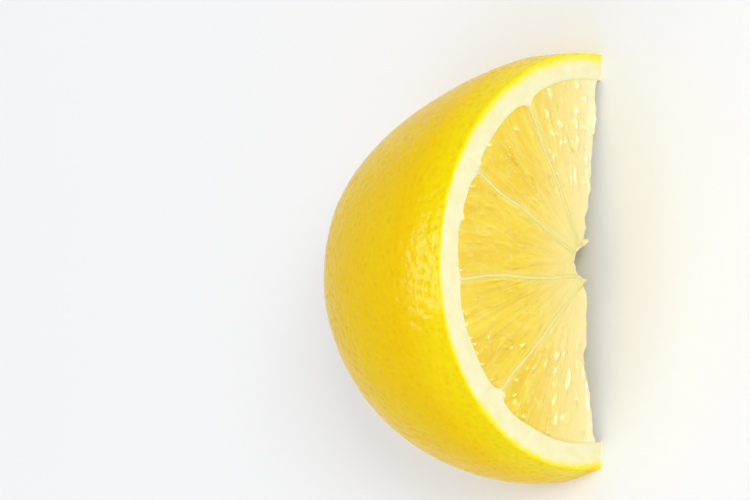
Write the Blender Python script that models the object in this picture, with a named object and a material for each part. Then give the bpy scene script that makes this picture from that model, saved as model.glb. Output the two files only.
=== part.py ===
"""A quarter of a lemon, lying on its lengthwise cut.

The fruit is cut twice: across its axis, which leaves a half disc at the front, facing -Y, and along its axis, which
leaves the flat that it rests on (z = 0). The blossom end, with its nipple, points along +Y. It grew as one piece, so
it is one solid.

Frame: metres, +Z up, origin on the resting plane, under the middle of the fruit's box. The shapes are made with the
cut across at y = 0 and the core's axis at x = 0, and are moved there at the end.
"""

import math

import bmesh
import bpy
from mathutils import Vector
from mathutils.geometry import interpolate_bezier

MM = 0.001

# The fruit's outside.
CUT_RADIUS = 27.5 * MM  # where it is cut across
BELLY_RADIUS = 28.3 * MM  # the widest place, just behind the cut
SHOULDER_DEPTH = 36.8 * MM  # from the cut to the furrow around the nipple
NIPPLE_LENGTH = 6.4 * MM
NIPPLE_RADIUS = 7.0 * MM  # at its foot
AXIS_BOW = 2.4 * MM  # how far the middle of the axis sags towards -X

# The two cuts and the flesh.
AXIS_HEIGHT = 2.8 * MM  # the core's axis, above the lengthwise cut
PEEL = 3.5 * MM  # zest and pith together
END_PITH = 3.0 * MM  # pith between the flesh and the furrow
FLESH_DRAW = 2.8 * MM  # how far the flesh has drawn in at the lengthwise cut
CORE_RADIUS = 2.5 * MM  # the core, which came away near the cut across
CORE_END_RADIUS = 1.0 * MM
CORE_DEPTH = 24.0 * MM

# How finely the round shapes are made.
AROUND = 72
BETWEEN_STATIONS = 4
CUTTER_OVERRUN = 4.0 * MM


def station(depth_share, radius):
    """A point of the outline, at a share of the way from the cut to the furrow."""
    return (depth_share * SHOULDER_DEPTH, radius)


def outline():
    """Depth and radius from the cut's edge, over the shoulder and the furrow, to the tip of the nipple."""
    shoulder = [
        station(0.00, CUT_RADIUS),
        station(0.19, BELLY_RADIUS),
        station(0.41, 0.95 * BELLY_RADIUS),
        station(0.63, 0.84 * BELLY_RADIUS),
        station(0.82, 0.68 * BELLY_RADIUS),
        station(0.94, 0.49 * BELLY_RADIUS),
    ]
    furrow = (SHOULDER_DEPTH, 1.35 * NIPPLE_RADIUS)
    nipple = [
        (SHOULDER_DEPTH + share * NIPPLE_LENGTH, width * NIPPLE_RADIUS)
        for share, width in ((0.20, 1.0), (0.45, 0.82), (0.75, 0.64), (0.93, 0.38), (1.0, 0.0))
    ]
    return shoulder + [furrow] + nipple


def flesh_outline():
    """The boundary between pith and flesh, carried out past the cut across so that it can be used as a cutter."""
    inner = [(depth, radius - PEEL) for depth, radius in outline() if depth < 0.8 * SHOULDER_DEPTH]
    before = (-CUTTER_OVERRUN, CUT_RADIUS - PEEL)
    end = (SHOULDER_DEPTH - END_PITH, 0.0)
    near_end = (0.5 * (inner[-1][0] + end[0]), 0.74 * inner[-1][1])
    return [before] + inner + [near_end, end]


def smooth_line(points, steps):
    """A curve through the points that meets the axis squarely at the last one, with this many steps between two."""
    points = [Vector((depth, radius, 0.0)) for depth, radius in points]
    along = [(after - before).normalized() for before, after in zip([points[0]] + points, points[1:])]
    along.append(Vector((0.0, -1.0, 0.0)))
    line = [points[0]]
    for place, (start, end) in enumerate(zip(points, points[1:])):
        reach = (end - start).length / 3
        out, into = start + reach * along[place], end - reach * along[place + 1]
        line += interpolate_bezier(start, out, into, end, steps + 1)[1:]
    return line


def bow(point):
    """How far the fruit's axis has moved sideways at a point's depth."""
    length = SHOULDER_DEPTH + NIPPLE_LENGTH
    return -AXIS_BOW * math.sin(math.pi * max(point.y, 0.0) / length)


def turned(points, centre_height):
    """A bmesh turned from an outline about an axis along +Y, closed by a flat disc at its wide end, and bowed."""
    shape = bmesh.new()
    line = smooth_line(points, BETWEEN_STATIONS)
    rim = [shape.verts.new((0.0, point.x, centre_height + point.y)) for point in line]
    for first, second in zip(rim, rim[1:]):
        shape.edges.new((first, second))
    bmesh.ops.spin(
        shape,
        geom=shape.verts[:] + shape.edges[:],
        cent=(0.0, 0.0, centre_height),
        axis=(0.0, 1.0, 0.0),
        angle=math.tau,
        steps=AROUND,
        use_merge=True,
    )
    bmesh.ops.remove_doubles(shape, verts=shape.verts, dist=0.001 * MM)
    open_edges = [edge for edge in shape.edges if edge.is_boundary]
    bmesh.ops.holes_fill(shape, edges=open_edges, sides=0)
    bmesh.ops.recalc_face_normals(shape, faces=shape.faces)
    for vert in shape.verts:
        vert.co.x += bow(vert.co)
    return shape


def named_object(name, shape):
    """An object in the scene that holds the bmesh."""
    mesh = bpy.data.meshes.new(name)
    shape.to_mesh(mesh)
    shape.free()
    made = bpy.data.objects.new(name, mesh)
    bpy.context.scene.collection.objects.link(made)
    return made


def cutter(name, shape):
    """A helper that takes its shape away from the fruit and isn't part of it."""
    made = named_object(name, shape)
    made.hide_render = True
    made.display_type = "WIRE"
    return made


def cut_fruit():
    """The outside of the fruit after both cuts."""
    shape = turned(outline(), AXIS_HEIGHT)
    cut = bmesh.ops.bisect_plane(
        shape,
        geom=shape.verts[:] + shape.edges[:] + shape.faces[:],
        plane_co=(0.0, 0.0, 0.0),
        plane_no=(0.0, 0.0, 1.0),
        clear_inner=True,
    )
    edges = [item for item in cut["geom_cut"] if isinstance(item, bmesh.types.BMEdge)]
    bmesh.ops.holes_fill(shape, edges=edges, sides=0)
    bmesh.ops.recalc_face_normals(shape, faces=shape.faces)
    return named_object("lemon_quarter", shape)


def flesh_dish():
    """The shallow hollow that the drawn-in flesh leaves in the lengthwise cut: its outline, pressed flat."""
    shape = turned(flesh_outline(), 0.0)
    flatness = FLESH_DRAW / (BELLY_RADIUS - PEEL)
    bmesh.ops.scale(shape, vec=(1.0, 1.0, flatness), verts=shape.verts)
    return cutter("flesh_dish", shape)


def core_groove():
    """The tapering groove that the core left, from the cut across towards the blossom end."""
    groove = [(-CUTTER_OVERRUN, CORE_RADIUS), (0.0, CORE_RADIUS), (CORE_DEPTH, CORE_END_RADIUS)]
    tip = (CORE_DEPTH + CORE_END_RADIUS, 0.0)
    return cutter("core_groove", turned(groove + [tip], AXIS_HEIGHT))


def take_away(fruit, tool):
    change = fruit.modifiers.new(tool.name, "BOOLEAN")
    change.operation = "DIFFERENCE"
    change.solver = "EXACT"
    change.object = tool


def centre_over_origin(fruit, tools):
    """Moves the fruit and its cutters together, so that the middle of the fruit's box is over the origin."""
    low = [min(vert.co[axis] for vert in fruit.data.vertices) for axis in (0, 1)]
    high = [max(vert.co[axis] for vert in fruit.data.vertices) for axis in (0, 1)]
    for moved in (fruit, *tools):
        moved.location.x = -0.5 * (low[0] + high[0])
        moved.location.y = -0.5 * (low[1] + high[1])


def peel_material():
    """Waxy yellow lemon peel."""
    material = bpy.data.materials.new("lemon_peel")
    material.use_nodes = True
    shader = material.node_tree.nodes["Principled BSDF"]
    shader.inputs["Base Color"].default_value = (0.86, 0.60, 0.01, 1.0)
    shader.inputs["Roughness"].default_value = 0.4
    shader.inputs["Metallic"].default_value = 0.0
    return material


def main():
    for old in list(bpy.data.objects):
        bpy.data.objects.remove(old, do_unlink=True)
    fruit = cut_fruit()
    tools = [flesh_dish(), core_groove()]
    for tool in tools:
        take_away(fruit, tool)
    centre_over_origin(fruit, tools)
    fruit.data.materials.append(peel_material())
    fruit.data.shade_smooth()
    fruit.data.set_sharp_from_angle(angle=math.radians(40))


main()
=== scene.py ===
# %% [markdown]
# # A quarter of a lemon, resting on its lengthwise cut
#
# The fruit was cut twice: across its axis, which shows the segments as wedges round the core, and
# along its axis, which is the flat it rests on. It is soft, wet and slightly see-through inside,
# and waxy and pitted outside.
#
# Everything is modelled in millimetres round the fruit's core, because a citrus fruit is built
# round that line: x points to one side, y runs from the cut into the fruit, and z points up. One
# matrix at the end turns millimetres into metres and puts each piece where the loaded frame says
# the fruit is.

# %% Load the frame and keep its box
import math

import bmesh
import bpy
from mathutils import Matrix, Vector, noise
from mathutils.geometry import interpolate_bezier


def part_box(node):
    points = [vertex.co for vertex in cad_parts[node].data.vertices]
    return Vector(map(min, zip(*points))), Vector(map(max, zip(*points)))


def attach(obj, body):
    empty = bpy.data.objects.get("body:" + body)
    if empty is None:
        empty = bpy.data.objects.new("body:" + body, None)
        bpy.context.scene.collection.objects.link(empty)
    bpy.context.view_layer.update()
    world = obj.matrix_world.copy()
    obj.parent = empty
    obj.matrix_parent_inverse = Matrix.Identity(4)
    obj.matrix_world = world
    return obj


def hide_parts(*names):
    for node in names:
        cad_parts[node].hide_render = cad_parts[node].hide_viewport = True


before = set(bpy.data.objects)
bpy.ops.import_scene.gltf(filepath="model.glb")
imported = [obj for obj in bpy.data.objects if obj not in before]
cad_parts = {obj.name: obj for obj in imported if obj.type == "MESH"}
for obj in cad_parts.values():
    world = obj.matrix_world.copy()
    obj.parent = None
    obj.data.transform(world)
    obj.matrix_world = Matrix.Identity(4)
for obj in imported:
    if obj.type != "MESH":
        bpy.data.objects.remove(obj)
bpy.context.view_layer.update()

SEED = 7
noise.seed_set(SEED)  # without a seed, noise_vector takes its offsets from the clock

MM = 0.001  # one millimetre, in the frame's metres
low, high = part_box("lemon_quarter")
print("nodes in the frame:", sorted(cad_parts))
print("box in mm:", [round(side / MM, 1) for side in high - low])

# %% [markdown]
# ## The outline of the fruit
#
# A lemon is a turned shape that is nearly, but not quite, round about its core: a barrel, a
# shoulder, a furrow and a nipple. A handful of stations with a smooth curve through them describes
# it better than a squashed sphere, because the shoulder and the nipple keep their own sizes. The
# same stations, moved in by the thickness of the peel, give the boundary between pith and flesh.
# The axis of a real lemon is seldom straight, so the turned shape is bowed sideways.

# %% Sizes of the fruit, in millimetres
CUT_RADIUS = 27.5  # where it is cut across
BELLY_RADIUS = 28.3
SHOULDER_DEPTH = 36.8  # from the cut to the furrow around the nipple
NIPPLE_LENGTH = 6.4
NIPPLE_RADIUS = 7.0
AXIS_BOW = 2.4
AXIS_HEIGHT = 2.8  # the core's middle, above the lengthwise cut
PEEL = 3.5  # zest and pith together
END_PITH = 3.0
CUT_FLESH_RADIUS = CUT_RADIUS - PEEL

# Stations of the outline: a share of the way in, and a share of the belly's or the nipple's radius.
SHOULDER = ((0.19, 1.0), (0.41, 0.95), (0.63, 0.84), (0.82, 0.68), (0.94, 0.49))
NIPPLE = ((0.0, 1.35), (0.20, 1.0), (0.45, 0.82), (0.75, 0.64), (0.93, 0.38), (1.0, 0.0))
FLESH_FOLLOWS = 0.8  # the flesh keeps to the skin's outline over this share of the way in
FLESH_END_WIDTH = 0.74  # and has this share of its width left halfway from there to its end


# %% The outline
def outline():
    """Depth and radius from the cut's edge, over the shoulder, to the tip of the nipple."""
    shoulder = [(share * SHOULDER_DEPTH, width * BELLY_RADIUS) for share, width in SHOULDER]
    nipple = [
        (SHOULDER_DEPTH + share * NIPPLE_LENGTH, width * NIPPLE_RADIUS) for share, width in NIPPLE
    ]
    return [(0.0, CUT_RADIUS)] + shoulder + nipple


def flesh_outline():
    """The boundary between pith and flesh, from the cut to where it meets the axis."""
    last = FLESH_FOLLOWS * SHOULDER_DEPTH
    inner = [(depth, radius - PEEL) for depth, radius in outline() if depth < last]
    end = (SHOULDER_DEPTH - END_PITH, 0.0)
    near_end = (0.5 * (inner[-1][0] + end[0]), FLESH_END_WIDTH * inner[-1][1])
    return inner + [near_end, end]


def smooth_line(stations, spacing):
    """A curve through the stations, square to the axis at its end, with a point every spacing."""
    points = [Vector((depth, radius, 0.0)) for depth, radius in stations]
    pairs = zip([points[0]] + points, points[1:])
    along = [(after - before).normalized() for before, after in pairs]
    along.append(Vector((0.0, -1.0, 0.0)))
    line = [points[0]]
    for place, (start, end) in enumerate(zip(points, points[1:])):
        reach = (end - start).length / 3
        steps = max(2, round(3 * reach / spacing))
        out, into = start + reach * along[place], end - reach * along[place + 1]
        line += interpolate_bezier(start, out, into, end, steps + 1)[1:]
    return [(point.x, point.y) for point in line]


def bow(depth):
    """How far the axis has moved sideways at a depth."""
    return -AXIS_BOW * math.sin(math.pi * max(depth, 0.0) / (SHOULDER_DEPTH + NIPPLE_LENGTH))


# %% From millimetres round the core to the frame
SKIN_SPACING = 0.27
skin_line = smooth_line(outline(), SKIN_SPACING)
widest = max(radius + bow(depth) for depth, radius in skin_line)
CORE = Vector((high.x - MM * widest, low.y, low.z + MM * AXIS_HEIGHT))
TO_FRAME = Matrix.Translation(CORE) @ Matrix.Scale(MM, 4)
print("core at the cut, mm:", [round(value / MM, 2) for value in CORE])

# %% [markdown]
# ## Small helpers
#
# Every piece ends in the same way, so one function does it: the mesh is moved into the frame,
# shaded smooth, given its material, and told to the frame. Colours are written as the hex codes
# that a paint chart would give, and turned to linear light once. One function adds a shader node
# with its settings and its links. Where two sockets of a node share a name they are given by
# number: on a Mix node that mixes colours, 0 is the share, 6 and 7 are the two colours, and output
# 2 is the mixture.

# %% Helpers
def linear(hex_colour):
    """An sRGB hex colour as linear red, green, blue and alpha."""
    shares = [int(hex_colour[place:place + 2], 16) / 255 for place in (1, 3, 5)]
    bright = [s / 12.92 if s <= 0.04045 else ((s + 0.055) / 1.055) ** 2.4 for s in shares]
    return (*bright, 1.0)


def add_node(tree, kind, inputs=None, **settings):
    """Adds a node. Each input is given a socket to link from, or a value."""
    node = tree.nodes.new(kind)
    for name, value in settings.items():
        setattr(node, name, value)
    for name, value in (inputs or {}).items():
        if isinstance(value, bpy.types.NodeSocket):
            tree.links.new(value, node.inputs[name])
        else:
            node.inputs[name].default_value = value
    return node


SHARP_ANGLE = math.radians(40)


def finish_piece(shape, name, material, closed=True):
    """Makes an object in the frame out of a bmesh in millimetres; an open sheet isn't closed."""
    bmesh.ops.recalc_face_normals(shape, faces=shape.faces)
    if closed and shape.calc_volume(signed=True) < 0:
        bmesh.ops.reverse_faces(shape, faces=shape.faces)
    shape.transform(TO_FRAME)
    mesh = bpy.data.meshes.new(name)
    shape.to_mesh(mesh)
    shape.free()
    mesh.shade_smooth()
    mesh.set_sharp_from_angle(angle=SHARP_ANGLE)
    mesh.materials.append(material)
    made = bpy.data.objects.new(name, mesh)
    bpy.context.scene.collection.objects.link(made)
    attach(made, "root")
    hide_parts("lemon_quarter")
    mesh.calc_loop_triangles()
    print(f"{name}: {len(mesh.vertices)} points, {len(mesh.loop_triangles)} triangles")
    return made


def smoothstep(low_edge, high_edge, value):
    """0 at the low edge, 1 at the high edge, and a soft step between. Either may be the larger."""
    share = min(1.0, max(0.0, (value - low_edge) / (high_edge - low_edge)))
    return share * share * (3 - 2 * share)


def own_number(centre, salt):
    """A random number from -1 to 1 that belongs to one cell of a pattern, and to this salt."""
    return noise.cell(salt * centre)


def scale_for(width):
    """The texture scale at which one patch of a pattern is this many millimetres wide."""
    return 1 / (width * MM)


# %% [markdown]
# ## How the flesh is divided
#
# Across the cut the flesh is a fan of juicy wedges. The thin skins between them, the septa, run
# nearly straight from the pith to the core, and most miss the core's middle by a millimetre or two.
# So each septum is stored as a straight line: the direction it runs in, and how far it passes from
# the middle. Where a septum meets the pith, the wedges on both sides have rounded corners, and the
# pith fills the notch between them.

# %% The septa
SEPTA = (  # direction in degrees from +x towards up, distance from the core's middle, notch depth
    (28.0, 0.0, 1.5),
    (60.6, 0.0, 1.0),
    (90.0, 2.0, 0.8),
    (131.8, 1.65, 1.5),
)
NOTCH_HALF_WIDTH = 3.0
SEPTUM_WANDER = 0.35  # how far a septum strays from its straight line
SEPTUM_WANDER_LENGTH = 4.5
EDGE_WANDER = 0.25  # how far the flesh's edge strays from a circle
SEPTUM_THICKNESS = 0.36
CORE_RADIUS = 2.5  # the core itself came away with the other half


def septum_angle(septum, radius):
    """The angle at which a septum's line crosses a circle round the core, in radians."""
    direction, distance, _ = septum
    wander = SEPTUM_WANDER * noise.noise(Vector((radius / SEPTUM_WANDER_LENGTH, direction, 0.5)))
    straight = math.radians(direction) + math.asin(distance / max(radius, distance + 0.01))
    return straight + wander / max(radius, 3.0)


def flesh_edge(angle):
    """The radius at which flesh meets pith on the cut, with a notch at each septum."""
    on_circle = Vector((3 * math.cos(angle), 3 * math.sin(angle), 4.7))
    edge = CUT_FLESH_RADIUS + EDGE_WANDER * noise.noise(on_circle)
    for septum in SEPTA:
        notch_depth = septum[2]
        away = CUT_FLESH_RADIUS * abs(angle - septum_angle(septum, CUT_FLESH_RADIUS))
        if away < NOTCH_HALF_WIDTH:
            edge -= notch_depth * (1 - math.sqrt(1 - (1 - away / NOTCH_HALF_WIDTH) ** 2))
    return edge


print("flesh edge at each septum, mm:", [
    round(flesh_edge(septum_angle(septum, CUT_FLESH_RADIUS)), 1) for septum in SEPTA])


# %% [markdown]
# ## The peel
#
# The peel is one thick shell: the waxy, pitted skin outside, the yellow zest just under it, and the
# white pith inside. It could be a sphere with a Solidify modifier, but then the cut face would be a
# single strip of faces with nothing to carry the change from zest to pith. Instead its whole
# section is drawn once, out along the flesh, across the cut and back over the skin, and spun about
# the core. Each point of the section remembers how deep below the skin it lies, and that number
# travels with the mesh and colours it. The lengthwise cut is then one flat slice.

# %% Section and spin
SPIN_STEPS = 160
SPLITS = 4  # each step of the spin is then split, which is quicker than spinning in small steps
RING_ROWS = 12
FLESH_SPACING = 1.3
CUT_EDGE_ROUNDING = 0.15
CORNER_INSET = 0.3  # where the middle of a rounded edge lies, as a share of its radius
SAME_PLACE = 0.001
SAME_HOOP = 0.0001


def peel_section():
    """Depth, radius and distance below the skin: out along the flesh, then back over the skin."""
    flesh_line = smooth_line(flesh_outline(), FLESH_SPACING)
    inner = [(depth, radius, PEEL) for depth, radius in reversed(flesh_line)]
    ring_width = PEEL - CUT_EDGE_ROUNDING
    ring = [
        (0.0, CUT_FLESH_RADIUS + ring_width * row / RING_ROWS, PEEL - ring_width * row / RING_ROWS)
        for row in range(1, RING_ROWS + 1)
    ]
    corner = (CORNER_INSET * CUT_EDGE_ROUNDING, CUT_RADIUS - CORNER_INSET * CUT_EDGE_ROUNDING, 0.0)
    skin = [(depth, radius, 0.0) for depth, radius in skin_line if depth > CUT_EDGE_ROUNDING]
    return inner + ring + [corner] + skin


def turned_peel():
    """The closed shell, turned about the core. Each point keeps its depth below the skin."""
    shape = bmesh.new()
    below = shape.verts.layers.float.new("below_skin")
    reach = shape.verts.layers.float.new("reach")
    rim = []
    for depth, radius, under in peel_section():
        rim.append(shape.verts.new((radius, depth, 0.0)))
        rim[-1][below], rim[-1][reach] = under, radius
    for first, second in zip(rim, rim[1:]):
        shape.edges.new((first, second))
    bmesh.ops.spin(
        shape, geom=shape.verts[:] + shape.edges[:], cent=(0, 0, 0), axis=(0, 1, 0),
        angle=math.tau, steps=SPIN_STEPS, use_merge=True,
    )
    bmesh.ops.remove_doubles(shape, verts=shape.verts, dist=SAME_PLACE)
    hoops = []
    for edge in shape.edges:
        start, end = edge.verts
        if max(abs(start.co.y - end.co.y), abs(start[reach] - end[reach])) < SAME_HOOP:
            hoops.append(edge)
    bmesh.ops.subdivide_edges(shape, edges=hoops, cuts=SPLITS - 1)
    for vert in shape.verts:
        radius = math.hypot(vert.co.x, vert.co.z)
        if radius > SAME_PLACE:
            vert.co.x *= vert[reach] / radius
            vert.co.z *= vert[reach] / radius
    shape.verts.layers.float.remove(reach)
    bmesh.ops.recalc_face_normals(shape, faces=shape.faces)
    return shape


def slice_flat(shape):
    """The lengthwise cut."""
    cut = bmesh.ops.bisect_plane(
        shape, geom=shape.verts[:] + shape.edges[:] + shape.faces[:],
        plane_co=(0, 0, -AXIS_HEIGHT), plane_no=(0, 0, 1), clear_inner=True,
    )
    open_edges = [item for item in cut["geom_cut"] if isinstance(item, bmesh.types.BMEdge)]
    filled = bmesh.ops.holes_fill(shape, edges=open_edges, sides=0)
    bmesh.ops.triangulate(shape, faces=filled["faces"])


# %% Skin relief
PIT_SPACING = 1.15  # the oil glands dimple the skin about this far apart
PIT_DEPTH = 0.13
LUMP_HEIGHT = 0.07
BROAD_LUMP, SMALL_LUMP = 12, 3.2  # widths
FOLDS = 9
FOLD_DEPTH = 0.3
THIN_ZEST = 0.31
ZEST_GROWTH = {"+x": 0.38, "-x": 0.14}  # how much thicker the zest is at each end of the cut
ZEST_WANDER = 0.15
SCAR_RADIUS, SCAR_MIDDLE = 2.6, 0.6  # the blossom's scar, at the tip of the nipple
SCAR_DEPTH = 0.7
PITH_UNEVENNESS = 0.10


def skin_pit(point):
    """How deep in a dimple a point of the skin is, from 0 to 1."""
    wander = 0.25 * noise.noise_vector(point / 2.5)
    distances, centres = noise.voronoi(point / PIT_SPACING + wander)
    size = 0.50 + 0.14 * own_number(centres[0], 17.0)
    return smoothstep(size, 0.0, distances[0])


def skin_swell(point):
    """The slow lumps of the skin, in millimetres."""
    broad, small = noise.noise(point / BROAD_LUMP), noise.noise(point / SMALL_LUMP)
    return LUMP_HEIGHT * (1.6 * broad + 0.6 * small)


def nipple_fold(point, angle):
    """Furrows that run out from the nipple over the shoulder, in millimetres."""
    nearness = smoothstep(0.72 * SHOULDER_DEPTH, SHOULDER_DEPTH, point.y)
    wander = 1.5 * noise.noise(point / 7)
    return -FOLD_DEPTH * nearness * (0.5 + 0.5 * math.sin(FOLDS * angle + 3 * wander)) ** 2


def zest_thickness(angle):
    """The zest is thin over the middle of the quarter and thicker towards the ends of the cut."""
    growth = ZEST_GROWTH["+x" if math.cos(angle) > 0 else "-x"] * math.cos(angle) ** 2
    return THIN_ZEST + growth + ZEST_WANDER * noise.noise(Vector((4 * angle, 0.0, 7.7)))


def blossom_scar(depth, radius):
    """How far into the blossom's scar a place of the skin lies, from 0 to 1."""
    near_axis = smoothstep(SCAR_RADIUS, SCAR_MIDDLE, radius)
    return near_axis * smoothstep(SHOULDER_DEPTH, SHOULDER_DEPTH + 4, depth)


print("zest at the top and at both ends of the cut, mm:", [
    round(zest_thickness(angle), 2) for angle in (0.5 * math.pi, 0.0, math.pi)])


# %% Relief of the whole peel
def shape_peel(shape):
    """Moves the points of the shell: notches inside, lumps, pits and folds outside, and the bow."""
    layers = shape.verts.layers.float
    below = layers["below_skin"]
    pit_layer, tip_layer, zest_layer = (layers.new(name) for name in ("pit", "tip", "in_zest"))
    shape.normal_update()
    normals = {vert: vert.normal.copy() for vert in shape.verts}
    for vert in shape.verts:
        angle = math.atan2(vert.co.z, vert.co.x)
        if angle < -0.5 * math.pi:
            angle += math.tau
        radius = math.hypot(vert.co.x, vert.co.z)
        depth_share = min(1.0, vert[below] / PEEL)
        vert[zest_layer] = vert[below] / zest_thickness(angle)
        on_table = vert.co.z < -AXIS_HEIGHT + SAME_PLACE
        if radius > 0.5:
            notch = (flesh_edge(angle) / CUT_FLESH_RADIUS - 1) * depth_share
            vert.co.x *= 1 + notch
            if not on_table:
                vert.co.z *= 1 + notch
        outward = Vector((vert.co.x, 0.0, vert.co.z)) / max(radius, SAME_PLACE)
        place = vert.co.copy()
        move = skin_swell(place) * (1 - depth_share) * outward
        if vert[below] < 0.01:
            pit = skin_pit(place)
            vert[pit_layer] = pit
            vert[tip_layer] = blossom_scar(place.y, radius)
            relief = nipple_fold(place, angle) - PIT_DEPTH * pit - SCAR_DEPTH * vert[tip_layer]
            move += relief * normals[vert]
        elif place.y < 0.01:
            uneven = PITH_UNEVENNESS * noise.noise(place / 1.1)
            move.y += uneven * smoothstep(0.3, 1.2, vert[below])
        if on_table:
            move.z = 0.0
        vert.co += move
        vert.co.x += bow(vert.co.y)
    shape.verts.layers.float.remove(below)


# %% [markdown]
# ### Waxy skin over zest and pith
#
# Lemon peel has a thin coat of natural wax over skin full of oil glands: a dielectric with a soft,
# broken sheen. The dimples are geometry. The bump only adds a fine unevenness between them. Below
# the skin the colour goes from saturated zest through a narrow pale yellow band to matt, cream
# pith, which scatters light like a sponge. The edge of the zest is ragged, because it follows the
# glands, so the depth that drives the colour is shaken by a cell pattern as coarse as the glands.

# %% Peel material
SKIN_YELLOW = "#F5CB00"
# The deeper yellow of the freckles, also used as painted shade in the dimples.
SKIN_DEEP_AND_PIT_SHADE = "#E8B600"
SKIN_BRIGHT = "#F6D200"
# Painted light: near the cut's edge the skin is painted a brighter yellow, for light that comes
# through the thin zest.
SKIN_PAINTED_GLOW_AT_CUT = "#F8E200"
LIT_THROUGH = 6.5  # how far behind the cut's edge the skin is painted brighter, for light that comes through the zest
ZEST = "#F4DF0C"
UNDER_ZEST = "#F8E868"
PITH = "#EFEABE"
PITH_STREAK = "#E8DD9E"
SCAR_BROWN = "#8A6A2C"
GLAND_WIDTH = 1.15


def peel_material():
    """Waxed lemon skin outside, matt spongy pith inside."""
    material = bpy.data.materials.new("waxed_lemon_peel")
    material.use_nodes = True
    tree = material.node_tree
    shader = tree.nodes["Principled BSDF"]
    place = add_node(tree, "ShaderNodeTexCoord").outputs["Object"]
    below = add_node(tree, "ShaderNodeAttribute", attribute_name="in_zest").outputs["Fac"]
    pit = add_node(tree, "ShaderNodeAttribute", attribute_name="pit").outputs["Fac"]
    tip = add_node(tree, "ShaderNodeAttribute", attribute_name="tip").outputs["Fac"]

    # Skin: large soft patches of warmer and brighter yellow, deeper yellow freckles, and painted
    # shade in each dimple.
    patches = add_node(tree, "ShaderNodeTexNoise", {
        "Vector": place, "Scale": scale_for(9), "Detail": 3.0})
    patch_share = add_node(tree, "ShaderNodeMapRange", {
        "Value": patches.outputs["Fac"], "From Min": 0.2, "From Max": 0.8},
        interpolation_type="SMOOTHSTEP")
    skin = add_node(tree, "ShaderNodeMix", {
        0: patch_share.outputs["Result"], 6: linear(SKIN_YELLOW), 7: linear(SKIN_BRIGHT)},
        data_type="RGBA")
    # Painted light: towards the cut's edge the skin is mixed towards a brighter yellow, for light
    # that comes through the zest.
    depth = add_node(tree, "ShaderNodeSeparateXYZ", {0: place}).outputs["Y"]
    painted_glow_at_cut = add_node(tree, "ShaderNodeMapRange", {
        "Value": depth, "From Min": CORE.y + LIT_THROUGH * MM, "From Max": CORE.y},
        interpolation_type="SMOOTHSTEP")
    skin = add_node(tree, "ShaderNodeMix", {
        0: painted_glow_at_cut.outputs["Result"], 6: skin.outputs[2], 7: linear(SKIN_PAINTED_GLOW_AT_CUT)}, data_type="RGBA")
    freckles = add_node(tree, "ShaderNodeTexNoise", {
        "Vector": place, "Scale": scale_for(0.7), "Detail": 3.0})
    freckle_share = add_node(tree, "ShaderNodeMapRange", {
        "Value": freckles.outputs["Fac"], "From Min": 0.35, "From Max": 0.75, "To Max": 0.25})
    freckle_and_pit_shade = add_node(tree, "ShaderNodeMath", {
        0: pit, 1: 0.3, 2: freckle_share.outputs["Result"]}, operation="MULTIPLY_ADD")
    skin = add_node(tree, "ShaderNodeMix", {
        0: freckle_and_pit_shade.outputs[0], 6: skin.outputs[2], 7: linear(SKIN_DEEP_AND_PIT_SHADE)}, data_type="RGBA")
    skin = add_node(tree, "ShaderNodeMix", {
        0: tip, 6: skin.outputs[2], 7: linear(SCAR_BROWN)}, data_type="RGBA")

    # Cut face: the depth below the skin picks the colour, in thicknesses of zest, shaken by glands.
    glands = add_node(tree, "ShaderNodeTexVoronoi", {
        "Vector": place, "Scale": scale_for(GLAND_WIDTH), "Randomness": 0.8})
    grain = add_node(tree, "ShaderNodeTexNoise", {
        "Vector": place, "Scale": scale_for(2.2), "Detail": 2.0})
    shaken = add_node(tree, "ShaderNodeMath", {
        0: glands.outputs["Distance"], 1: 0.75, 2: below}, operation="MULTIPLY_ADD")
    shaken = add_node(tree, "ShaderNodeMath", {
        0: grain.outputs["Fac"], 1: 1.0, 2: shaken.outputs[0]}, operation="MULTIPLY_ADD")
    to_pale = add_node(tree, "ShaderNodeMapRange", {
        "Value": shaken.outputs[0], "From Min": 1.0, "From Max": 2.1},
        interpolation_type="SMOOTHSTEP")
    to_pith = add_node(tree, "ShaderNodeMapRange", {
        "Value": shaken.outputs[0], "From Min": 1.7, "From Max": 3.7},
        interpolation_type="SMOOTHSTEP")
    inside = add_node(tree, "ShaderNodeMix", {
        0: to_pale.outputs["Result"], 6: linear(ZEST), 7: linear(UNDER_ZEST)}, data_type="RGBA")
    sponge = add_node(tree, "ShaderNodeTexNoise", {
        "Vector": place, "Scale": scale_for(1.6), "Detail": 3.0})
    sponge_share = add_node(tree, "ShaderNodeMapRange", {
        "Value": sponge.outputs["Fac"], "From Min": 0.4, "From Max": 0.75, "To Max": 0.5})
    pith = add_node(tree, "ShaderNodeMix", {
        0: sponge_share.outputs["Result"], 6: linear(PITH), 7: linear(PITH_STREAK)},
        data_type="RGBA")
    inside = add_node(tree, "ShaderNodeMix", {
        0: to_pith.outputs["Result"], 6: inside.outputs[2], 7: pith.outputs[2]}, data_type="RGBA")
    is_inside = add_node(tree, "ShaderNodeMapRange", {
        "Value": below, "From Min": 0.02, "From Max": 0.25}, interpolation_type="SMOOTHSTEP")
    colour = add_node(tree, "ShaderNodeMix", {
        0: is_inside.outputs["Result"], 6: skin.outputs[2], 7: inside.outputs[2]}, data_type="RGBA")
    tree.links.new(colour.outputs[2], shader.inputs["Base Color"])

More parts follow.
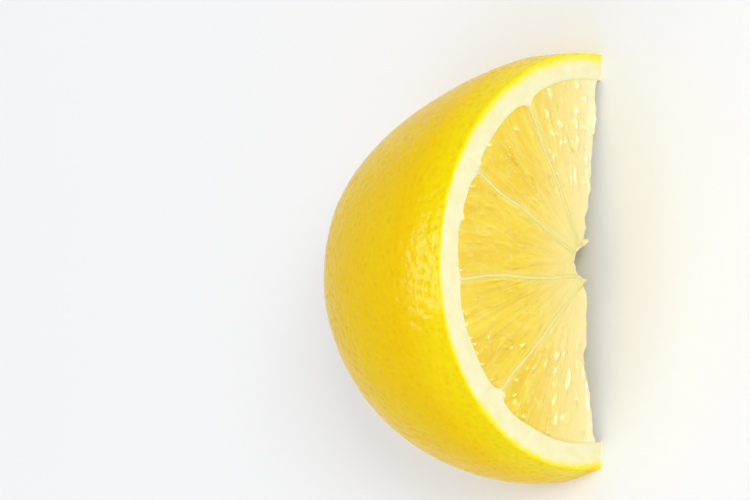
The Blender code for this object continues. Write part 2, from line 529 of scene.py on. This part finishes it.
    # Gloss: waxed outside, matt inside, broken up by a fine unevenness.
    rough = add_node(tree, "ShaderNodeMapRange", {
        "Value": below, "From Max": 2.0, "To Min": 0.24, "To Max": 0.62})
    tree.links.new(rough.outputs["Result"], shader.inputs["Roughness"])
    uneven = add_node(tree, "ShaderNodeTexNoise", {
        "Vector": place, "Scale": scale_for(1.1), "Detail": 1.5})
    bump = add_node(tree, "ShaderNodeBump", {
        "Height": uneven.outputs["Fac"], "Strength": 0.6, "Distance": 0.22 * MM})
    tree.links.new(bump.outputs["Normal"], shader.inputs["Normal"])
    shader.inputs["IOR"].default_value = 1.45
    shader.inputs["Specular IOR Level"].default_value = 0.06
    shader.inputs["Subsurface Weight"].default_value = 0.15
    shader.inputs["Subsurface Radius"].default_value = (1.0, 0.7, 0.25)
    shader.inputs["Subsurface Scale"].default_value = 0.6 * MM
    return material


peel_shape = turned_peel()
slice_flat(peel_shape)
shape_peel(peel_shape)
finish_piece(peel_shape, "peel", peel_material())

# %% [markdown]
# ## The flesh
#
# A wedge of citrus flesh is a bag of hundreds of juice sacs, long drops that point at the core. On
# the cut they show as a fan of narrow cells with thin walls between them, and some stand proud. A
# flat disc with a bump map wouldn't do, because the wet flanks of the sacs are what catches the
# light.
#
# Each wedge starts as a bmesh grid. One direction of the grid becomes the angle between two septa
# and the other the way from core to pith, so every row already runs along the juice sacs. The rim
# of the grid is then extruded back along the inside of the peel, ring by ring.

# %% Where the torn lower edge of the flesh runs
# The flesh has drawn in unevenly: distance from the core's middle, and height relative to it.
LOWER_EDGE = {
    +1: (
        (2.0, 0.4), (4.0, 0.3), (11.0, -0.9), (15.0, -1.2), (19.0, -1.9), (22.5, -1.8),
        (25.0, -2.2),
    ),
    -1: (
        (2.0, 0.7), (3.2, 0.5), (4.5, -0.2), (9.5, -0.1), (13.0, 0.4), (18.0, -0.7), (22.0, -1.3),
        (25.0, -2.0),
    ),
}
TORN_HEIGHT, TORN_WIDTH = 0.3, 1.3  # the small teeth along the edge


def lower_height(side, distance):
    """The height of the flesh's lower edge on one side, relative to the core's middle."""
    stations = LOWER_EDGE[side]
    distance = min(max(distance, stations[0][0]), stations[-1][0])
    for (near, near_height), (far, far_height) in zip(stations, stations[1:]):
        if distance <= far:
            torn = TORN_HEIGHT * noise.noise(Vector((distance / TORN_WIDTH, side, 2.2)))
            return near_height + (far_height - near_height) * smoothstep(near, far, distance) + torn


def lower_angle(side, radius):
    """The angle of the flesh's lower edge at a radius."""
    rise = math.asin(min(1.0, max(-1.0, lower_height(side, radius) / max(radius, 0.1))))
    return rise if side > 0 else math.pi - rise


print("lower edge 10 mm out, mm:", [round(lower_height(side, 10), 2) for side in LOWER_EDGE])

# %% Borders of the five wedges
BORDERS = (
    [lambda radius: lower_angle(+1, radius)]
    + [lambda radius, septum=septum: septum_angle(septum, radius) for septum in SEPTA]
    + [lambda radius: lower_angle(-1, radius)]
)
FIRST_RADII = (2.3, CORE_RADIUS, CORE_RADIUS, CORE_RADIUS, 3.1)
GRID_SPACING = 0.17
JOIN = 0.12  # wedges reach this far into the pith, so that no dark line shows between them
SIDE_SPACING = {"fine": 0.9, "coarse": 3.0}
LAST_WEDGE = len(BORDERS) - 2
print("wedges:", LAST_WEDGE + 1)


def wedge_polar(number, across, outward):
    """A place on a wedge's cut face from its shares: radius, angle, and both borders' angles."""
    first, second = BORDERS[number], BORDERS[number + 1]
    rim_begin, rim_finish = first(CUT_FLESH_RADIUS), second(CUT_FLESH_RADIUS)
    rim_angle = rim_begin + across * (rim_finish - rim_begin)
    start = FIRST_RADII[number]
    radius = start + outward * (flesh_edge(rim_angle) + JOIN - start)
    gap = (0.5 * SEPTUM_THICKNESS - 0.5 * JOIN) / radius
    begin = first(radius) + (gap if number > 0 else 0.0)
    finish = second(radius) - (gap if number < LAST_WEDGE else 0.0)
    return radius, begin + across * (finish - begin), begin, finish


# %% Relief of the juice sacs
SAC_ANGLE = 4.2  # degrees; about 1.7 mm wide at the pith
SAC_LENGTH = 7.0
SAC_HEIGHT = 0.13
BULGE_ANGLE = 4.0  # degrees between one bulging sac and the next
BULGE_SPACING = 2.8
BULGE_HEIGHT = 0.32
BULGE_WIDTH = 0.38
BULGE_WANDER = 0.25
SHORT_BULGE, LONG_BULGE = 0.6, 1.5  # half lengths
STREAK_ANGLE = 1.3
STREAK_HEIGHT = 0.055
EDGE_ROUNDING = 0.04


def bulge(angle, radius, seed):
    """How far up a sac that stands proud of the cut a place lies, from 0 to about 1."""
    spot = Vector((math.degrees(angle) / BULGE_ANGLE, radius / BULGE_SPACING, seed + 40))
    centre = noise.voronoi(spot)[1][0]
    chance = own_number(centre, 31.0)
    aside = math.radians((spot.x - centre.x) * BULGE_ANGLE) * radius
    aside += BULGE_WANDER * noise.noise(2.5 * spot)
    along = (spot.y - centre.y) * BULGE_SPACING
    length = SHORT_BULGE if own_number(centre, 17.0) > 0.1 else LONG_BULGE
    swell = math.exp(-(aside / BULGE_WIDTH) ** 2 - (along / length) ** 2)
    return swell * (0.9 + 0.2 * own_number(centre, 7.0)) * smoothstep(-0.4, 0.0, chance)


def juice_sacs(angle, radius, seed):
    """Height in millimetres, nearness to a sac's wall and tone, at one place of the cut."""
    spot = Vector((math.degrees(angle) / SAC_ANGLE, radius / SAC_LENGTH, seed))
    wander = noise.noise_vector(Vector((spot.x * 0.5, spot.y * 1.6, seed + 5.3)))
    distances, centres = noise.voronoi(spot + 0.45 * wander)
    dome = max(0.0, 1 - (distances[0] / 0.9) ** 2)
    streak = noise.noise(Vector((math.degrees(angle) / STREAK_ANGLE, radius / 8, seed)))
    broad_angle = math.degrees(angle) / (3 * STREAK_ANGLE)
    broad_streak = noise.noise(Vector((broad_angle, radius / 10, seed + 9)))
    juicy = 0.25 + 0.75 * smoothstep(5.0, 19.0, radius)
    height = juicy * (SAC_HEIGHT * dome + STREAK_HEIGHT * streak)
    height += BULGE_HEIGHT * smoothstep(6.0, 15.0, radius) * bulge(angle, radius, seed)
    tone = 0.5 + 0.22 * own_number(centres[0], 23.0) + 0.5 * broad_streak + 0.4 * streak
    sac_wall = 1 - smoothstep(0.0, 0.1, distances[1] - distances[0])
    return height, sac_wall, min(1.0, max(0.0, tone))


def edge_fall(distance):
    """How far the face falls back near its own border, as a quarter circle."""
    share = 1 - min(1.0, max(0.0, distance / EDGE_ROUNDING))
    return EDGE_ROUNDING * (1 - math.sqrt(1 - share * share))


# %% One wedge
CUT_RECESS = 0.05  # the pulp lies a hair behind the pith
SEPTUM_SHOWS = 0.9  # the pale septum shows through the clear sacs beside it
LAST_RING = 2.0  # the wedges are closed where the flesh's outline has become this narrow
SIDE_UNEVENNESS = 0.25


def wedge(number, side_spacing):
    """The closed body of one wedge, as a bmesh with its tone, wall and painted glow in layers."""
    width = BORDERS[number + 1](CUT_FLESH_RADIUS) - BORDERS[number](CUT_FLESH_RADIUS)
    shape = bmesh.new()
    polar = shape.verts.layers.float_vector.new("polar")
    wall, tone, painted_glow = (shape.verts.layers.float.new(name) for name in ("wall", "tone", "painted_glow"))
    bmesh.ops.create_grid(
        shape, x_segments=round(CUT_FLESH_RADIUS * width / GRID_SPACING),
        y_segments=round((CUT_FLESH_RADIUS - CORE_RADIUS) / GRID_SPACING), size=0.5)
    for vert in shape.verts:
        across, outward = vert.co.x + 0.5, vert.co.y + 0.5
        radius, angle, begin, finish = wedge_polar(number, across, outward)
        vert[polar] = (across, angle, radius)
        from_end = (CUT_FLESH_RADIUS - CORE_RADIUS) * min(outward, 1 - outward)
        from_border = min(from_end, radius * (angle - begin), radius * (finish - angle))
        height, sac_wall, vert[tone] = juice_sacs(angle, radius, 3.1 * number)
        from_septum = min(
            radius * (angle - begin) if number > 0 else radius,
            radius * (finish - angle) if number < LAST_WEDGE else radius)
        vert[wall] = max(0.5 * sac_wall, smoothstep(SEPTUM_SHOWS, 0.0, from_septum))
        # Painted glow: paler towards the lengthwise cut, where light shines through the thin flesh,
        # and most of all in the last few millimetres.
        above_cut = radius * math.sin(angle) + AXIS_HEIGHT
        broad_painted_glow, edge_painted_glow = smoothstep(16.0, 1.5, above_cut), smoothstep(4.5, 1.5, above_cut)
        vert[painted_glow] = 0.65 * broad_painted_glow + 0.35 * edge_painted_glow
        back = CUT_RECESS + edge_fall(from_border) - height * smoothstep(0.0, 0.6, from_border)
        vert.co = Vector((radius * math.cos(angle), back, radius * math.sin(angle)))

    rim = [edge for edge in shape.edges if edge.is_boundary]
    for depth, flesh_radius in smooth_line(flesh_outline(), side_spacing)[1:]:
        if flesh_radius < LAST_RING:
            break
        made = bmesh.ops.extrude_edge_only(shape, edges=rim)["geom"]
        rim = [item for item in made if isinstance(item, bmesh.types.BMEdge) and item.is_boundary]
        shrink = flesh_radius / CUT_FLESH_RADIUS
        for vert in {vert for edge in rim for vert in edge.verts}:
            across, angle, radius = vert[polar]
            lowness = {0: 1 - across, LAST_WEDGE: across}.get(number, 0.0) ** 2
            x, z = shrink * radius * math.cos(angle), shrink * radius * math.sin(angle)
            uneven = SIDE_UNEVENNESS * noise.noise(Vector((x / 2.0, depth / 6.0, number)))
            sag = uneven - AXIS_HEIGHT * (1 - shrink)
            vert.co = Vector((x + bow(depth), depth, z + lowness * sag))
    bmesh.ops.holes_fill(shape, edges=rim, sides=0)
    bmesh.ops.triangulate(shape, faces=[face for face in shape.faces if len(face.verts) > 4])
    shape.verts.layers.float_vector.remove(polar)
    return shape


# %% [markdown]
# ### Wet pulp
#
# Juice sacs are clear bags of pale yellow juice: light goes in, scatters and comes out a few
# millimetres on, and the wet film on top gives small, hard glints. Subsurface scattering with a
# coat does that. The colour must be right on its own too, so it is paler along the walls of the
# sacs, and painted paler towards the lengthwise cut, for the light that shines through thin flesh.

# %% Pulp material
PULP = "#EED53E"
PULP_DEEP = "#E5C120"
# Painted light: the pale colour that stands in for light shining through the thin flesh near the
# lengthwise cut.
PULP_PAINTED_GLOW = "#F6EEC0"
SAC_WALL = "#F5E58A"


def pulp_material():
    """Lemon pulp, cut and wet."""
    material = bpy.data.materials.new("wet_lemon_pulp")
    material.use_nodes = True
    tree = material.node_tree
    shader = tree.nodes["Principled BSDF"]
    place = add_node(tree, "ShaderNodeTexCoord").outputs["Object"]
    wall = add_node(tree, "ShaderNodeAttribute", attribute_name="wall").outputs["Fac"]
    tone = add_node(tree, "ShaderNodeAttribute", attribute_name="tone").outputs["Fac"]
    painted_glow = add_node(tree, "ShaderNodeAttribute", attribute_name="painted_glow").outputs["Fac"]
    colour = add_node(tree, "ShaderNodeMix", {
        0: tone, 6: linear(PULP_DEEP), 7: linear(PULP)}, data_type="RGBA")
    # Painted glow towards the lengthwise cut, for light that shines through the thin flesh.
    colour = add_node(tree, "ShaderNodeMix", {
        0: painted_glow, 6: colour.outputs[2], 7: linear(PULP_PAINTED_GLOW)}, data_type="RGBA")
    haze = add_node(tree, "ShaderNodeTexNoise", {
        "Vector": place, "Scale": scale_for(3), "Detail": 3.0})
    wall_share = add_node(tree, "ShaderNodeMath", {
        0: wall, 1: haze.outputs["Fac"]}, operation="MULTIPLY")
    colour = add_node(tree, "ShaderNodeMix", {
        0: wall_share.outputs[0], 6: colour.outputs[2], 7: linear(SAC_WALL)}, data_type="RGBA")
    tree.links.new(colour.outputs[2], shader.inputs["Base Color"])
    grain = add_node(tree, "ShaderNodeTexNoise", {
        "Vector": place, "Scale": scale_for(0.7), "Detail": 2.0})
    bump = add_node(tree, "ShaderNodeBump", {
        "Height": grain.outputs["Fac"], "Strength": 0.25, "Distance": 0.10 * MM})
    tree.links.new(bump.outputs["Normal"], shader.inputs["Normal"])
    rough = add_node(tree, "ShaderNodeMapRange", {
        "Value": haze.outputs["Fac"],
        "From Min": 0.3, "From Max": 0.7, "To Min": 0.22, "To Max": 0.4})
    tree.links.new(rough.outputs["Result"], shader.inputs["Roughness"])
    shader.inputs["IOR"].default_value = 1.36
    shader.inputs["Specular IOR Level"].default_value = 0.25
    shader.inputs["Subsurface Weight"].default_value = 0.6
    shader.inputs["Subsurface Radius"].default_value = (1.0, 0.85, 0.4)
    shader.inputs["Subsurface Scale"].default_value = 0.8 * MM
    shader.inputs["Coat Weight"].default_value = 1.0
    shader.inputs["Coat Roughness"].default_value = 0.08
    shader.inputs["Coat IOR"].default_value = 1.36
    return material


pulp = pulp_material()
for number in range(LAST_WEDGE + 1):
    seen_from_below = number in (0, LAST_WEDGE)
    spacing = SIDE_SPACING["fine" if seen_from_below else "coarse"]
    finish_piece(wedge(number, spacing), f"segment_{number + 1}", pulp)

# %% [markdown]
# ## Septa and what is left of the core
#
# The septa are thin, tough, pale skins. On the cut they show only as fine light lines, so they
# could be painted on, but then the wedges would meet in a crease. Each is a real sheet here: a grid
# along the septum's line, carried back into the fruit and given its thickness.

# %% Septa
SHEET_ROWS = 140
SHEET_LEVELS = 14
SEPTUM_PROUD = 0.04  # the tough skin stands a hair in front of the soft pulp
INTO_PITH = 0.6
SEPTA_REACH = 0.75  # how far in the sheets run, as a share of the shoulder's depth
SEPTUM_RIPPLE = 0.03


def septa_shape():
    """The middle surfaces of all septa in one bmesh, from the core's groove into the pith."""
    last = SEPTA_REACH * SHOULDER_DEPTH
    levels = [level for level in smooth_line(flesh_outline(), 1.0) if level[0] < last]
    shape = bmesh.new()
    for septum in SEPTA:
        sheet = bmesh.ops.create_grid(
            shape, x_segments=SHEET_ROWS, y_segments=SHEET_LEVELS, size=0.5)
        rim_radius = CUT_FLESH_RADIUS - septum[2] + INTO_PITH
        for vert in sheet["verts"]:
            outward, inward = vert.co.x + 0.5, vert.co.y + 0.5
            depth, flesh_radius = levels[round(inward * (len(levels) - 1))]
            shrink = flesh_radius / CUT_FLESH_RADIUS
            radius = CORE_RADIUS + outward * (rim_radius - CORE_RADIUS)
            angle = septum_angle(septum, radius)
            x, z = shrink * radius * math.cos(angle), shrink * radius * math.sin(angle)
            place = Vector((x, depth + CUT_RECESS, z))
            if depth < 0.01:
                ripple = SEPTUM_RIPPLE * noise.noise(Vector((radius / 1.5, septum[0], 0.0)))
                place.y += ripple - SEPTUM_PROUD
            place.x += bow(depth)
            vert.co = place
    return shape


# %% Septum material
SEPTUM = "#F5E28A"


def septum_material():
    """Citrus septum: thin, pale, damp skin."""
    material = bpy.data.materials.new("damp_citrus_septum")
    material.use_nodes = True
    tree = material.node_tree
    shader = tree.nodes["Principled BSDF"]
    place = add_node(tree, "ShaderNodeTexCoord").outputs["Object"]
    fibres = add_node(tree, "ShaderNodeTexNoise", {
        "Vector": place, "Scale": scale_for(1.5), "Detail": 3.0})
    colour = add_node(tree, "ShaderNodeMix", {
        0: fibres.outputs["Fac"], 6: linear(SAC_WALL), 7: linear(SEPTUM)}, data_type="RGBA")
    tree.links.new(colour.outputs[2], shader.inputs["Base Color"])
    shader.inputs["Roughness"].default_value = 0.45
    shader.inputs["IOR"].default_value = 1.4
    shader.inputs["Subsurface Weight"].default_value = 0.3
    shader.inputs["Subsurface Radius"].default_value = (1.0, 0.8, 0.35)
    shader.inputs["Subsurface Scale"].default_value = 0.3 * MM
    return material


septa = finish_piece(septa_shape(), "septa", septum_material(), closed=False)
sheet_thickness = septa.modifiers.new("sheet_thickness", "SOLIDIFY")
sheet_thickness.thickness = SEPTUM_THICKNESS * MM
sheet_thickness.offset = 0.0

# %% [markdown]
# ### The core's groove
#
# The pithy core was pulled out with the other half. It left a rough, pale arch that narrows into
# the fruit, and torn scraps at its edge. The arch could be cut out of the wedges with a Boolean,
# but it would have a clean edge and no skin of its own. Instead it is a tapering line spun part of
# the way round, ridged along its length like the fibres that were there, and given its thickness.
# Each scrap is a small ring, extruded and narrowed step by step, and bent the way that the knife
# dragged it. The scraps are a piece of their own, because each is closed already.

# %% Core lining
CORE_END_RADIUS = 1.0
CORE_DEPTH = 24.0
LINING_THICKNESS = 0.3
LINING_STEPS = 60
LINING_ROWS = 60
RIDGE_HEIGHT = 0.22
SCRAP_STEPS = 7
SCRAP_NARROWING, SCRAP_TIP = 0.95, 0.6  # from one ring to the next, and at the last
SCRAP_BEND = 0.18
SCRAP_ROUGHNESS = 0.12
ARCH_START, ARCH_END = math.radians(6), math.radians(170)
SCRAPS = (  # foot: angle in degrees, depth; then length, foot radius, and the way it leans
    (12, 0.35, 1.15, 0.42, (0.10, -0.25, -0.95)),
    (9, 0.55, 0.9, 0.42, (0.45, -0.10, -0.80)),
    (167, 0.35, 0.7, 0.36, (-0.15, -0.20, -0.95)),
)


def add_scrap(shape, foot_angle, depth, length, foot_radius, lean):
    """One torn fibre: a small ring, extruded and narrowed step by step, then bent over."""
    ring = bmesh.ops.create_circle(shape, cap_ends=True, segments=10, radius=foot_radius)["verts"]
    edges = list({edge for vert in ring for edge in vert.link_edges})
    scrap = list(ring)
    for step in range(1, SCRAP_STEPS + 1):
        made = bmesh.ops.extrude_edge_only(shape, edges=edges)["geom"]
        ring = [item for item in made if isinstance(item, bmesh.types.BMVert)]
        edges = [item for item in made if isinstance(item, bmesh.types.BMEdge) and item.is_boundary]
        narrowing = SCRAP_NARROWING if step < SCRAP_STEPS else SCRAP_TIP
        height = length * step / SCRAP_STEPS
        for vert in ring:
            vert.co = Vector((narrowing * vert.co.x, narrowing * vert.co.y, height))
        scrap += ring
    bmesh.ops.holes_fill(shape, edges=edges, sides=0)
    rise = math.radians(foot_angle)
    foot = Vector((CORE_RADIUS * math.cos(rise), depth, CORE_RADIUS * math.sin(rise) + 0.2))
    turn = Vector(lean).to_track_quat("Z", "Y")
    for vert in scrap:
        bent = Vector((vert.co.x + SCRAP_BEND * vert.co.z ** 2, vert.co.y, vert.co.z))
        vert.co = foot + turn @ bent + SCRAP_ROUGHNESS * noise.noise_vector(foot + 1.6 * bent)


def core_lining():
    """The arch in the flesh, with its closed far end."""
    shape = bmesh.new()
    line = []
    closing = (CORE_DEPTH + 1.2 * CORE_END_RADIUS, CORE_DEPTH - CORE_END_RADIUS)
    for row in range(LINING_ROWS + 1):
        share = row / LINING_ROWS
        depth = CUT_RECESS + 0.1 + share * (CORE_DEPTH + CORE_END_RADIUS)
        radius = CORE_RADIUS + min(1.0, depth / CORE_DEPTH) * (CORE_END_RADIUS - CORE_RADIUS)
        radius *= math.sqrt(smoothstep(*closing, depth))
        foot = (radius * math.cos(ARCH_START), depth, radius * math.sin(ARCH_START))
        line.append(shape.verts.new(foot))
    for first, second in zip(line, line[1:]):
        shape.edges.new((first, second))
    bmesh.ops.spin(
        shape, geom=shape.verts[:] + shape.edges[:], cent=(0, 0, 0), axis=(0, -1, 0),
        angle=ARCH_END - ARCH_START, steps=LINING_STEPS, use_merge=False)
    for vert in shape.verts:
        angle, radius = math.atan2(vert.co.z, vert.co.x), math.hypot(vert.co.x, vert.co.z)
        long_ridge = noise.noise(Vector((3.5 * angle, vert.co.y / 7, 1.0)))
        ridge = long_ridge + 0.4 * noise.noise(vert.co / 0.8)
        stretch = 1 + RIDGE_HEIGHT * ridge * min(1.0, radius) / CORE_RADIUS
        vert.co = Vector((stretch * vert.co.x + bow(vert.co.y), vert.co.y, stretch * vert.co.z))
    bmesh.ops.recalc_face_normals(shape, faces=shape.faces)
    bmesh.ops.solidify(shape, geom=shape.faces[:], thickness=LINING_THICKNESS)
    return shape


def core_scraps():
    """The torn scraps at the front of the arch."""
    shape = bmesh.new()
    for scrap in SCRAPS:
        add_scrap(shape, *scrap)
    return shape


# %% Core material
CORE_PALE = "#F8F0C8"
CORE_YELLOW = "#F1DC86"


def core_material():
    """Torn citrus core: damp, spongy fibre."""
    material = bpy.data.materials.new("torn_citrus_core")
    material.use_nodes = True
    tree = material.node_tree
    shader = tree.nodes["Principled BSDF"]
    place = add_node(tree, "ShaderNodeTexCoord").outputs["Object"]
    fibres = add_node(tree, "ShaderNodeTexNoise", {
        "Vector": place, "Scale": scale_for(1.2), "Detail": 4.0})
    colour = add_node(tree, "ShaderNodeMix", {
        0: fibres.outputs["Fac"], 6: linear(CORE_YELLOW), 7: linear(CORE_PALE)}, data_type="RGBA")
    tree.links.new(colour.outputs[2], shader.inputs["Base Color"])
    bump = add_node(tree, "ShaderNodeBump", {
        "Height": fibres.outputs["Fac"], "Strength": 0.5, "Distance": 0.2 * MM})
    tree.links.new(bump.outputs["Normal"], shader.inputs["Normal"])
    shader.inputs["Roughness"].default_value = 0.55
    shader.inputs["IOR"].default_value = 1.4
    shader.inputs["Subsurface Weight"].default_value = 0.4
    shader.inputs["Subsurface Radius"].default_value = (1.0, 0.85, 0.5)
    shader.inputs["Subsurface Scale"].default_value = 0.5 * MM
    return material


core_fibre = core_material()
finish_piece(core_lining(), "core_lining", core_fibre)
finish_piece(core_scraps(), "core_scraps", core_fibre)

# %% [markdown]
# ## Floor, light and camera
#
# The setting is plain on purpose: a matt, nearly white floor and a bright, even room, which keep
# the colours true. A soft key box and a weak fill give the form and a soft shadow. Two more lights
# are only there to be mirrored: a box near the floor in front glints in the wet pulp, and a bar
# behind gives the skin its sheen near the cut. They add no diffuse light, so the shadow stays
# simple.
#
# The camera looks down on the cut across from a little way off through a long lens, which keeps the
# half disc's own proportions. It is rolled a quarter turn, so the fruit's width runs up the
# picture.

# %% Floor
FLOOR_SIZE = 8.0
CLOUDS_PER_METRE = 12.0


def paper_material():
    """Matt white studio paper with a faint unevenness."""
    material = bpy.data.materials.new("white_studio_paper")
    material.use_nodes = True
    tree = material.node_tree
    shader = tree.nodes["Principled BSDF"]
    place = add_node(tree, "ShaderNodeTexCoord").outputs["Object"]
    cloud = add_node(tree, "ShaderNodeTexNoise", {
        "Vector": place, "Scale": CLOUDS_PER_METRE, "Detail": 2.0})
    colour = add_node(tree, "ShaderNodeMix", {
        0: cloud.outputs["Fac"], 6: linear("#F4F5F7"), 7: linear("#F8F9FB")}, data_type="RGBA")
    tree.links.new(colour.outputs[2], shader.inputs["Base Color"])
    shader.inputs["Roughness"].default_value = 0.7
    shader.inputs["Specular IOR Level"].default_value = 0.3
    return material


floor_shape = bmesh.new()
bmesh.ops.create_grid(floor_shape, x_segments=2, y_segments=2, size=0.5 * FLOOR_SIZE)
bmesh.ops.translate(floor_shape, verts=floor_shape.verts, vec=(0.0, 0.0, low.z))
floor_mesh = bpy.data.meshes.new("floor")
floor_shape.to_mesh(floor_mesh)
floor_shape.free()
floor_mesh.materials.append(paper_material())
floor = bpy.data.objects.new("floor", floor_mesh)
bpy.context.scene.collection.objects.link(floor)

# %% Room light
scene = bpy.context.scene
scene.view_settings.view_transform = "Standard"
world = bpy.data.worlds.new("bright_room")
world.use_nodes = True
background = world.node_tree.nodes["Background"]
background.inputs["Color"].default_value = linear("#FFFFFF")
background.inputs["Strength"].default_value = 0.70
scene.world = world


def soft_box(name, toward, distance, size, power, height=None):
    """An area light that faces the fruit, sizes in metres; square unless it has a height."""
    light = bpy.data.lights.new(name, "AREA")
    light.shape = "RECTANGLE"
    light.size = size
    light.size_y = height or size
    light.energy = power
    made = bpy.data.objects.new(name, light)
    scene.collection.objects.link(made)
    away = Vector(toward).normalized()
    made.location = CORE + distance * away
    made.rotation_euler = away.to_track_quat("Z", "Y").to_euler()
    made.visible_camera = False
    return made


soft_box("key_box", toward=(0.30, -0.74, 0.60), distance=1.2, size=0.45, power=5.5)
soft_box("fill_box", toward=(-0.75, 0.30, 0.58), distance=0.8, size=0.5, power=0.8)
glint_box = soft_box(
    "glint_box", toward=(0.0, -0.985, 0.17), distance=0.7, size=0.6, height=0.22, power=6.0)
sheen_bar = soft_box(
    "sheen_bar", toward=(0.0, 0.37, 0.93), distance=0.9, size=0.6, height=0.15, power=12.0)
for light in (glint_box, sheen_bar):
    light.visible_diffuse = False

# %% Camera
VIEW_ANGLE = math.radians(44)  # how steeply the camera looks down
CAMERA_DISTANCE = 0.6
LENS = 218.5
ASIDE, LIFT = 0.0279, 0.00154  # how far the camera stands left of the core and above it

camera_data = bpy.data.cameras.new("camera")
camera_data.lens = LENS
camera = bpy.data.objects.new("camera", camera_data)
scene.collection.objects.link(camera)
backward = Vector((0.0, -math.cos(VIEW_ANGLE), math.sin(VIEW_ANGLE)))
upward = Vector((1.0, 0.0, 0.0))
rightward = upward.cross(backward)
turn = Matrix((rightward, upward, backward)).transposed().to_4x4()
camera.matrix_world = Matrix.Translation(
    CORE + CAMERA_DISTANCE * backward - ASIDE * rightward + LIFT * upward) @ turn
scene.camera = camera
print("camera at, mm:", [round(value / MM, 1) for value in camera.matrix_world.translation])
